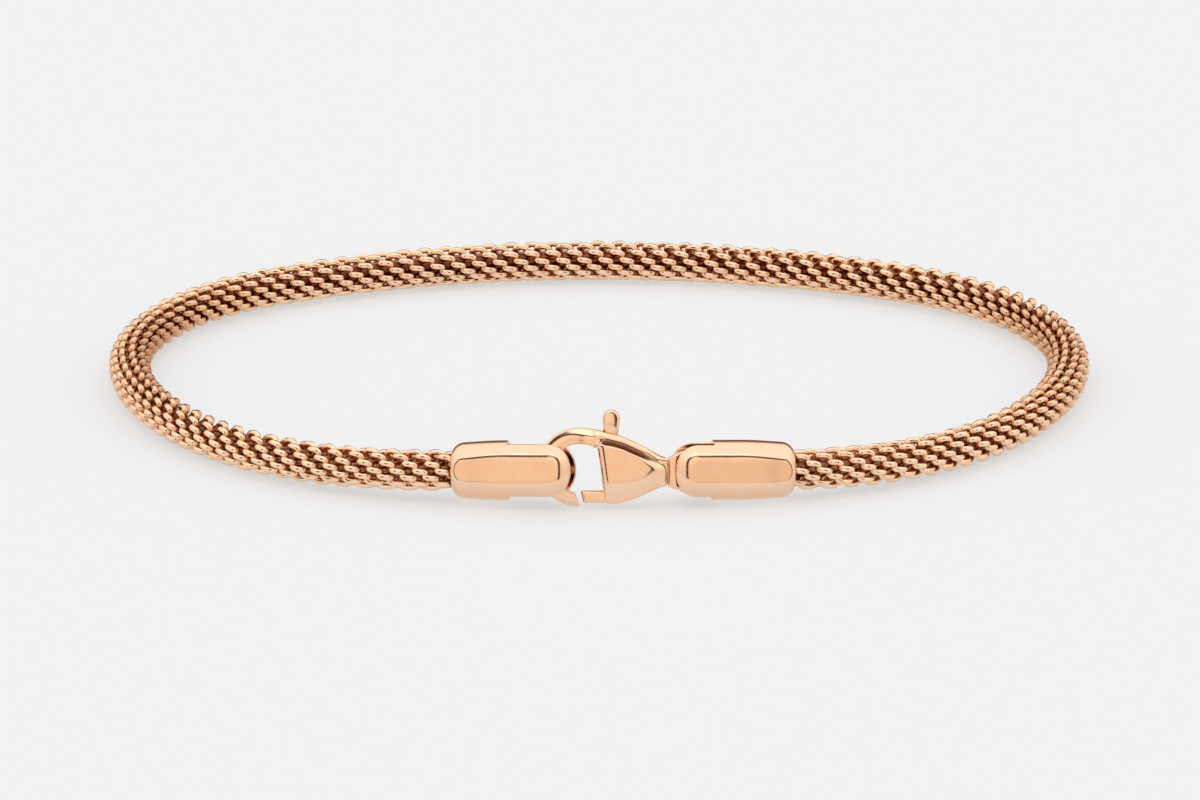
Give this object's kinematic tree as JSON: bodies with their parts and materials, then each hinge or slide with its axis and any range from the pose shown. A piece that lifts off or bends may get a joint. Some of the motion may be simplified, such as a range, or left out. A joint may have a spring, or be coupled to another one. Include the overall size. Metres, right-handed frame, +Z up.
{
  "type": "mesh bracelet",
  "caption": "Woven wire tube bracelet closed by a lobster clasp that hooks round a pin between the cheeks of a slotted end cap.",
  "frame": {"origin": "middle of the bounding box, on the surface the bracelet lies on", "axes": "+X across the loop's width, -Y towards the clasp, +Z up"},
  "size_m": [0.0681, 0.0516, 0.0065],
  "materials": {
    "woven_wire": "polished rose gold plating on fine wire",
    "polished_metal": "polished rose gold plating"
  },
  "bodies": {
    "bracelet": {"mesh_rope": "woven_wire", "end_cap_left": "polished_metal", "end_cap_right": "polished_metal", "cross_pin_left": "polished_metal", "cross_pin_right": "polished_metal", "clasp_body": "polished_metal", "lever_pin": "polished_metal"},
    "lever": {"clasp_lever": "polished_metal"}
  },
  "joints": [
    {"name": "lever_hinge", "type": "hinge", "parent": "bracelet", "child": "lever", "pos_m": [0.00144, -0.02378, 0.0017], "axis": [-0.0499, 0.96, -0.2756], "range_deg": [0, 24], "stiffness_Nm_per_rad": 0.001, "springref_deg": -28.65}
  ]
}
